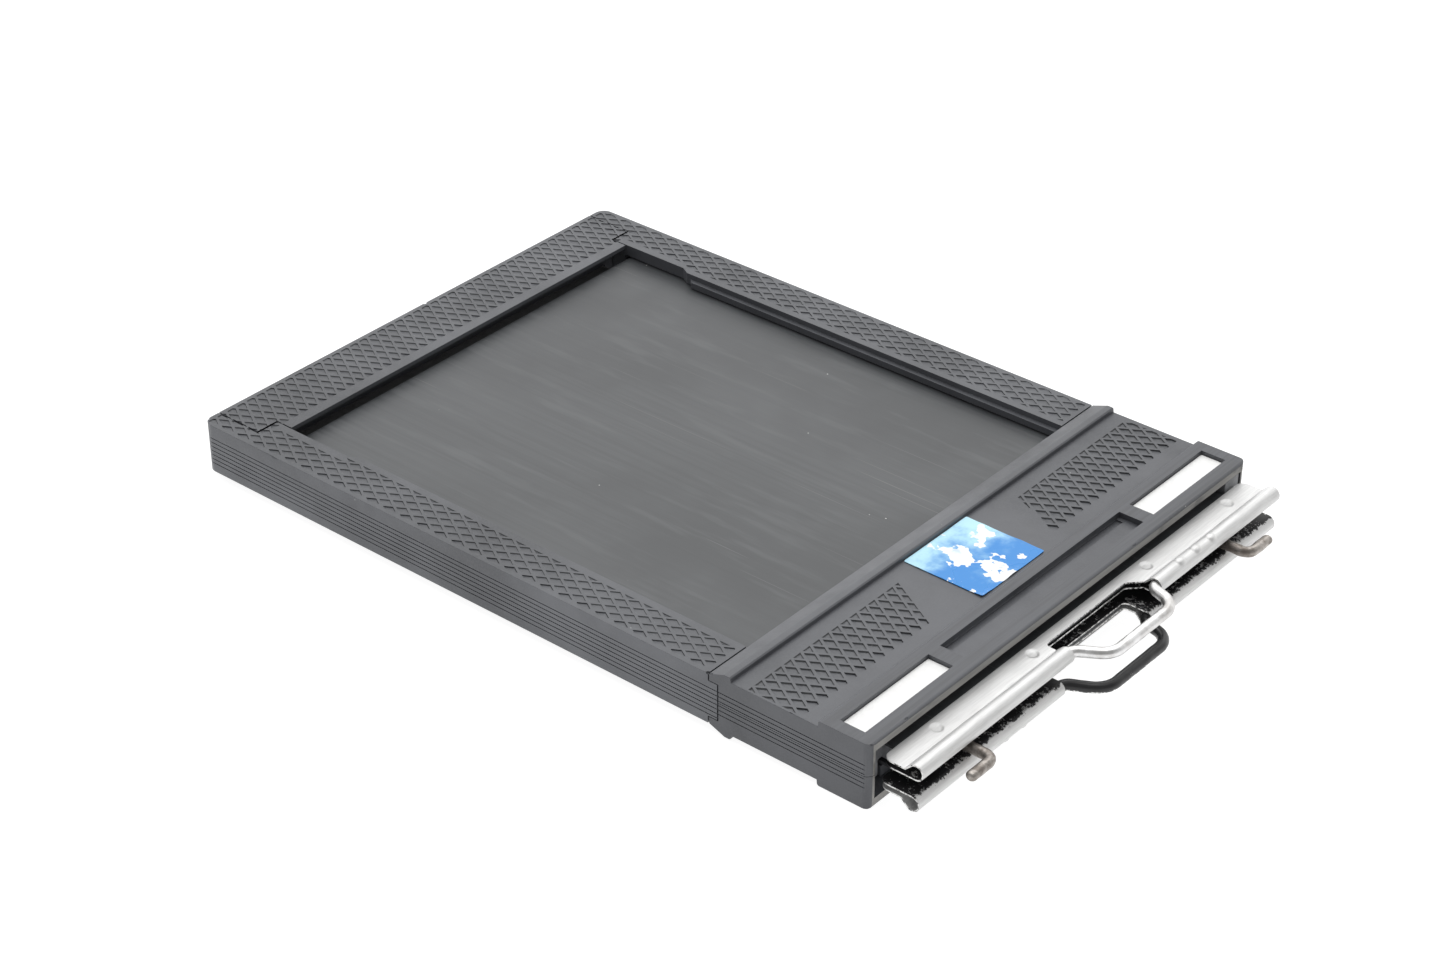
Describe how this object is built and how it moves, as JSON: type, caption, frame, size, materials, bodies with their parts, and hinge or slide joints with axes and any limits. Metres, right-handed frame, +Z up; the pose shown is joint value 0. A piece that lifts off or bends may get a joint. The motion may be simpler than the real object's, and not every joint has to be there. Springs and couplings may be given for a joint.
{
  "type": "sheet film holder",
  "caption": "Double-sided sheet film holder with pull-out dark slides, wire pull loops, swivelling lock hooks and a hinged loading flap.",
  "frame": {"origin": "centre of the holder's bounding box at the level of the underside of the end bar, which it rests on", "axes": "+X the way the dark slides pull out, +Y across the holder to its far side, +Z up out of the side with the bright handle"},
  "size_m": [0.1844, 0.1206, 0.0141],
  "materials": {
    "moulded_body": "dark grey moulded resin, edges rubbed lighter",
    "moulded_core": "lighter grey moulded resin",
    "slide_sheet": "satin black sheet with fine lengthwise rubbing",
    "black_plate": "matt black thin metal",
    "black_cloth": "black plush and book cloth",
    "spring_strip": "spring bronze strip",
    "bright_handle": "bright satin folded sheet",
    "wire_steel": "dull round wire",
    "black_paint": "black enamel, chipped along the edges",
    "writing_strip_white": "white matt writing surface",
    "label_blue": null
  },
  "bodies": {
    "frame": {"near_side_rail": "moulded_body", "far_side_rail": "moulded_body", "septum_plate": "black_plate", "septum_hinge_cloth": "black_cloth", "near_film_guide": "black_plate", "far_film_guide": "black_plate", "block_upper_shell": "moulded_body", "block_lower_shell": "moulded_body", "block_core": "moulded_core", "upper_light_trap_plush": "black_cloth", "lower_light_trap_plush": "black_cloth", "upper_light_trap_spring": "spring_strip", "lower_light_trap_spring": "spring_strip", "upper_near_writing_strip": "writing_strip_white", "upper_far_writing_strip": "writing_strip_white", "lower_near_writing_strip": "writing_strip_white", "lower_far_writing_strip": "writing_strip_white", "upper_label": "label_blue"},
    "flap": {"loading_flap": "moulded_body", "flap_hinge_cloth": "black_cloth"},
    "upper_slide": {"upper_dark_slide": "slide_sheet", "upper_handle": "bright_handle", "upper_wire_loop": "wire_steel"},
    "lower_slide": {"lower_dark_slide": "slide_sheet", "lower_handle": "black_paint", "lower_wire_loop": "black_paint"},
    "near_hook": {"near_lock_hook": "wire_steel"},
    "far_hook": {"far_lock_hook": "wire_steel"}
  },
  "joints": [
    {"name": "flap_hinge", "type": "hinge", "parent": "frame", "child": "flap", "pos_m": [-0.0764, 0, 0.00705], "axis": [0, 1, 0], "range_deg": [-55, 55]},
    {"name": "upper_slide_pull", "type": "slide", "parent": "frame", "child": "upper_slide", "axis": [1, 0, 0], "range_m": [0, 0.168]},
    {"name": "lower_slide_pull", "type": "slide", "parent": "frame", "child": "lower_slide", "axis": [1, 0, 0], "range_m": [0, 0.168]},
    {"name": "near_hook_turn", "type": "hinge", "parent": "frame", "child": "near_hook", "pos_m": [0.0693, -0.04163, 0.00705], "axis": [1, 0, 0], "range_deg": [-90, 90]},
    {"name": "far_hook_turn", "type": "hinge", "parent": "frame", "child": "far_hook", "pos_m": [0.0693, 0.04163, 0.00705], "axis": [1, 0, 0], "range_deg": [-90, 90]}
  ]
}
